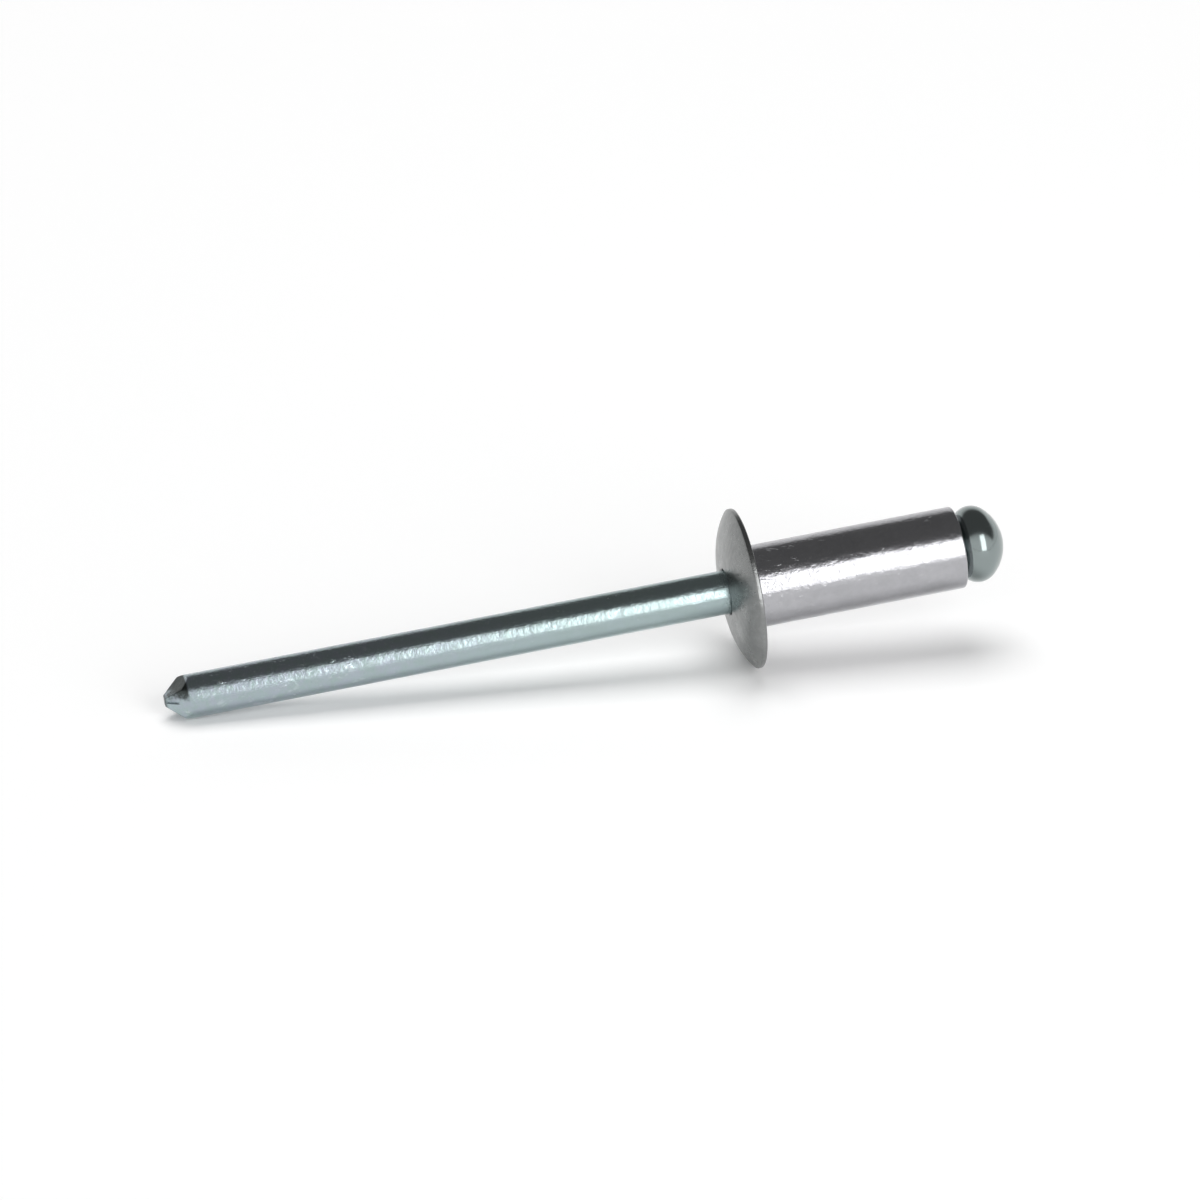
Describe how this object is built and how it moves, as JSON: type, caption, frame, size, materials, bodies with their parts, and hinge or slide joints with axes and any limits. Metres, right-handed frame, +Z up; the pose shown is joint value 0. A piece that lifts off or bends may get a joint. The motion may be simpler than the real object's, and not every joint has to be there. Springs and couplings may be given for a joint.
{
  "type": "blind rivet",
  "caption": "Dome-head blind rivet: a hollow aluminium sleeve on a plated steel mandrel with a ball-shaped bulb at the blind end and a faceted point.",
  "frame": {"origin": "centre of the bounding box, on the surface that the rivet lies on", "axes": "+X roughly along the rivet from the mandrel's point to its bulb, +Z up; the axis rises about 6 degrees towards the bulb, because the rivet lies on its head's rim and its mandrel's point end"},
  "size_m": [0.0412, 0.0078, 0.0078],
  "materials": {
    "body": "satin bright aluminium, as headed and tumbled",
    "mandrel": "bright zinc plate with a cool blue-green cast, drawn along the wire"
  },
  "bodies": {
    "root": {"rivet_body": "body", "mandrel": "mandrel"}
  },
  "joints": []
}
